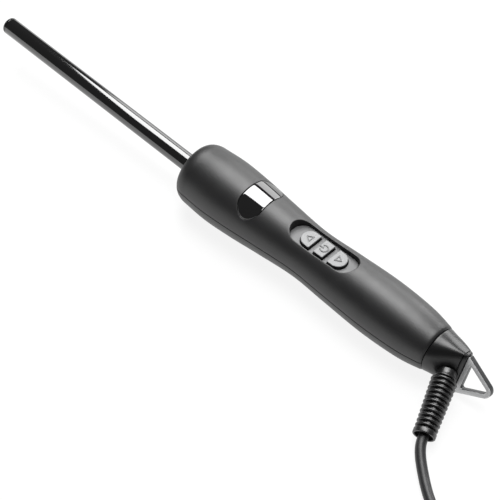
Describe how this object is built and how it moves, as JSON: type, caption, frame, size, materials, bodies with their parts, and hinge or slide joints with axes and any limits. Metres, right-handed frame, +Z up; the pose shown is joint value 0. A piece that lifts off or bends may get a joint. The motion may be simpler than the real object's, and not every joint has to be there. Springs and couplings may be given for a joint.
{
  "type": "curling iron",
  "caption": "Slim clipless hair curling wand with a heated round barrel, display window, press buttons, and a swivelling tail with hanging loop and corded plug.",
  "frame": {"origin": "centre of the footprint of the wand without its cord, on the surface it lies on", "axes": "+X along the wand towards the barrel's tip, +Z up through the buttons, +Y to the side that the cord leaves"},
  "size_m": [0.505, 0.0834, 0.0332],
  "materials": {
    "soft_touch_charcoal": "soft-touch satin",
    "gloss_black_plastic": "gloss",
    "barrel_coating": "gloss ceramic coating",
    "window_black": "high gloss",
    "silver_grey_plastic": "satin silver-grey",
    "loop_silver": "satin silver faces with dark edges",
    "black_rubber": "satin",
    "cord_sheath": "satin",
    "plug_plastic": "fine satin",
    "tie_strap": "hook-and-loop strap",
    "heat_plastic": "satin",
    "white_plastic": "satin",
    "ceramic_white": "unglazed",
    "steel": "brushed",
    "brass": "turned",
    "board_green": "solder mask",
    "chip_black": "moulded epoxy",
    "capacitor_red": "dipped resin",
    "clear_glass": "clear",
    "wire_red": "silicone sleeve",
    "wire_blue": "silicone sleeve",
    "wire_white": "silicone sleeve"
  },
  "bodies": {
    "swivel_tail": {"tail_housing": "gloss_black_plastic", "hanging_loop": "loop_silver", "loop_pin": "steel", "swivel_hub": "heat_plastic", "slip_ring_live": "brass", "slip_ring_neutral": "brass", "cord_lead_live": "wire_red", "cord_lead_neutral": "wire_blue", "strain_relief": "black_rubber", "power_cord": "cord_sheath", "cord_coil": "cord_sheath", "cord_tie": "tie_strap", "plug_lead": "cord_sheath", "plug_strain_relief": "black_rubber", "plug_body": "plug_plastic", "plug_pin_live": "steel", "plug_pin_neutral": "steel"},
    "handle": {"upper_shell": "soft_touch_charcoal", "lower_shell": "soft_touch_charcoal", "shell_screw_1": "steel", "shell_screw_2": "steel", "shell_screw_3": "steel", "display_window": "window_black", "display_light_box": "white_plastic", "display_screen": "chip_black", "button_bezel": "silver_grey_plastic", "circuit_board": "board_green", "board_screw_1": "steel", "board_screw_2": "steel", "microcontroller": "chip_black", "triac": "chip_black", "filter_capacitor": "capacitor_red", "glass_fuse": "clear_glass", "barrel_tube": "barrel_coating", "barrel_end_cap": "barrel_coating", "heater_sleeve": "ceramic_white", "heater_rod": "steel", "thermistor": "ceramic_white", "barrel_collar": "heat_plastic", "barrel_clamp_ring": "steel", "thermal_fuse": "steel", "heater_lead_live": "wire_red", "heater_lead_neutral": "wire_blue", "thermistor_lead": "wire_white", "brush_holder": "white_plastic", "brush_contact_live": "brass", "brush_contact_neutral": "brass", "brush_lead_live": "wire_red", "brush_lead_neutral": "wire_blue", "swivel_washer": "white_plastic", "switch_body_up": "chip_black", "switch_body_power": "chip_black", "switch_body_down": "chip_black"},
    "up_button": {"button_up": "silver_grey_plastic", "switch_plunger_up": "white_plastic"},
    "power_button": {"button_power": "silver_grey_plastic", "switch_plunger_power": "white_plastic"},
    "down_button": {"button_down": "silver_grey_plastic", "switch_plunger_down": "white_plastic"}
  },
  "joints": [
    {"name": "cord_swivel", "type": "hinge", "parent": "swivel_tail", "child": "handle", "pos_m": [-0.12889, 0, 0.01335], "axis": [0.9998, 0, 0.0223], "continuous": true},
    {"name": "up_press", "type": "slide", "parent": "handle", "child": "up_button", "axis": [0.0223, 0, -0.9998], "range_m": [0, 0.0004], "stiffness_N_per_m": 1500},
    {"name": "power_press", "type": "slide", "parent": "handle", "child": "power_button", "axis": [0.0223, 0, -0.9998], "range_m": [0, 0.0004], "stiffness_N_per_m": 1500},
    {"name": "down_press", "type": "slide", "parent": "handle", "child": "down_button", "axis": [0.0223, 0, -0.9998], "range_m": [0, 0.0004], "stiffness_N_per_m": 1500}
  ]
}
